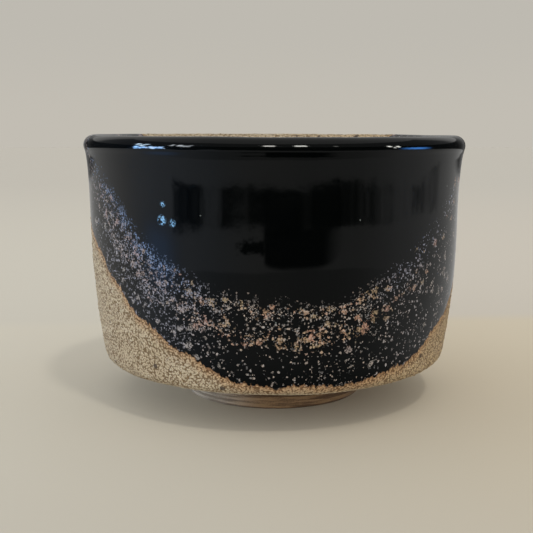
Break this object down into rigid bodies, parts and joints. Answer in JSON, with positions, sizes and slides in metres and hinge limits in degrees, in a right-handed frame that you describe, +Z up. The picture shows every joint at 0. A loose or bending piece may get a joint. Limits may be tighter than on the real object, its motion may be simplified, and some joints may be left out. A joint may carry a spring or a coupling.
{
  "type": "matcha bowl",
  "caption": "Round, straight-sided tea bowl with a rolled lip and a foot ring, dipped at a slant in black glaze over a sandy cream glaze.",
  "frame": {"origin": "middle of the foot ring's resting face, on the surface that the bowl stands on", "axes": "+Z up along the axis the bowl was turned on; -Y towards the side where the dark glaze hangs lowest"},
  "size_m": [0.12, 0.12, 0.082],
  "materials": {
    "clay_body": "bare sandy stoneware",
    "foot_ring": "bare stoneware with turning lines",
    "liner_glaze": "satin, with iron specks",
    "pale_glaze": "rough, sandy, matte",
    "speckled_glaze": "gloss black breaking into pale flecks",
    "gloss_glaze": "gloss black"
  },
  "bodies": {
    "root": {"clay_body": "clay_body", "foot_ring": "foot_ring", "liner_glaze": "liner_glaze", "pale_glaze": "pale_glaze", "speckled_glaze": "speckled_glaze", "gloss_glaze": "gloss_glaze"}
  },
  "joints": []
}
